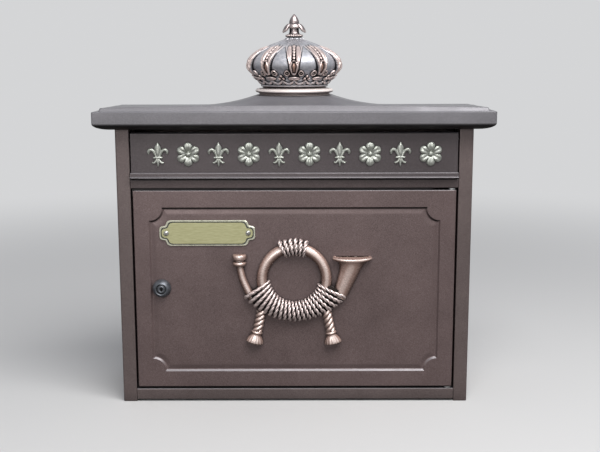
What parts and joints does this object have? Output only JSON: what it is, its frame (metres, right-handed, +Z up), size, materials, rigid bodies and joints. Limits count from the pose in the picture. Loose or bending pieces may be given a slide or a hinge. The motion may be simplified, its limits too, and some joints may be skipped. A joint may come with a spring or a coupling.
{
  "type": "wall mailbox",
  "caption": "Wall mailbox with a concave roof and crown, a letter flap at the top, and a hinged locking door with a post horn ornament.",
  "frame": {"origin": "middle of the overall box, on the plane the side castings stand on", "axes": "+Z up, -Y towards the person who opens the door, +Y into the wall, +X to that person's right"},
  "size_m": [0.41, 0.132, 0.4117],
  "materials": {
    "coat": "satin",
    "crown_metal": "satin",
    "horn_metal": "satin",
    "pale_brass": "satin",
    "plate_screw_brass": "satin",
    "lock_metal": "satin",
    "zinc_steel": "satin"
  },
  "bodies": {
    "housing": {"left_side": "coat", "right_side": "coat", "back_panel": "coat", "floor_tray": "coat", "cross_rail": "coat", "roof": "coat", "crown_base": "crown_metal", "crown_body": "crown_metal", "crown_finial": "crown_metal", "crown_bolt": "zinc_steel", "crown_washer": "zinc_steel", "door_pin_upper": "zinc_steel", "door_pin_lower": "zinc_steel", "flap_pin_left": "zinc_steel", "flap_pin_right": "zinc_steel", "roof_screw_front_left": "zinc_steel", "roof_screw_rear_left": "zinc_steel", "floor_screw_front_left": "zinc_steel", "floor_screw_rear_left": "zinc_steel", "rail_screw_upper_left": "zinc_steel", "rail_screw_lower_left": "zinc_steel", "back_screw_upper_left": "zinc_steel", "back_screw_lower_left": "zinc_steel", "roof_screw_front_right": "zinc_steel", "roof_screw_rear_right": "zinc_steel", "floor_screw_front_right": "zinc_steel", "floor_screw_rear_right": "zinc_steel", "rail_screw_upper_right": "zinc_steel", "rail_screw_lower_right": "zinc_steel", "back_screw_upper_right": "zinc_steel", "back_screw_lower_right": "zinc_steel"},
    "letter_flap": {"flap": "coat", "flap_lily_1": "pale_brass", "flap_lily_2": "pale_brass", "flap_lily_3": "pale_brass", "flap_lily_4": "pale_brass", "flap_lily_5": "pale_brass", "flap_rosette_1": "pale_brass", "flap_rosette_2": "pale_brass", "flap_rosette_3": "pale_brass", "flap_rosette_4": "pale_brass", "flap_rosette_5": "pale_brass"},
    "front_door": {"door": "coat", "post_horn": "horn_metal", "horn_nut_left": "zinc_steel", "horn_nut_right": "zinc_steel", "name_plate": "pale_brass", "plate_screw_left": "plate_screw_brass", "plate_screw_right": "plate_screw_brass", "lock_body": "lock_metal", "lock_nut": "zinc_steel"},
    "lock_cylinder": {"lock_plug": "lock_metal", "lock_cam": "zinc_steel", "cam_nut": "zinc_steel"}
  },
  "joints": [
    {"name": "door_hinge", "type": "hinge", "parent": "housing", "child": "front_door", "pos_m": [0.165, -0.042, 0.016], "axis": [0, 0, 1], "range_deg": [0, 105]},
    {"name": "flap_hinge", "type": "hinge", "parent": "housing", "child": "letter_flap", "pos_m": [0, -0.0385, 0.282], "axis": [-1, 0, 0], "range_deg": [0, 60]},
    {"name": "lock_turn", "type": "hinge", "parent": "front_door", "child": "lock_cylinder", "pos_m": [-0.1411, -0.0448, 0.1252], "axis": [0, 1, 0], "range_deg": [0, 90]}
  ]
}
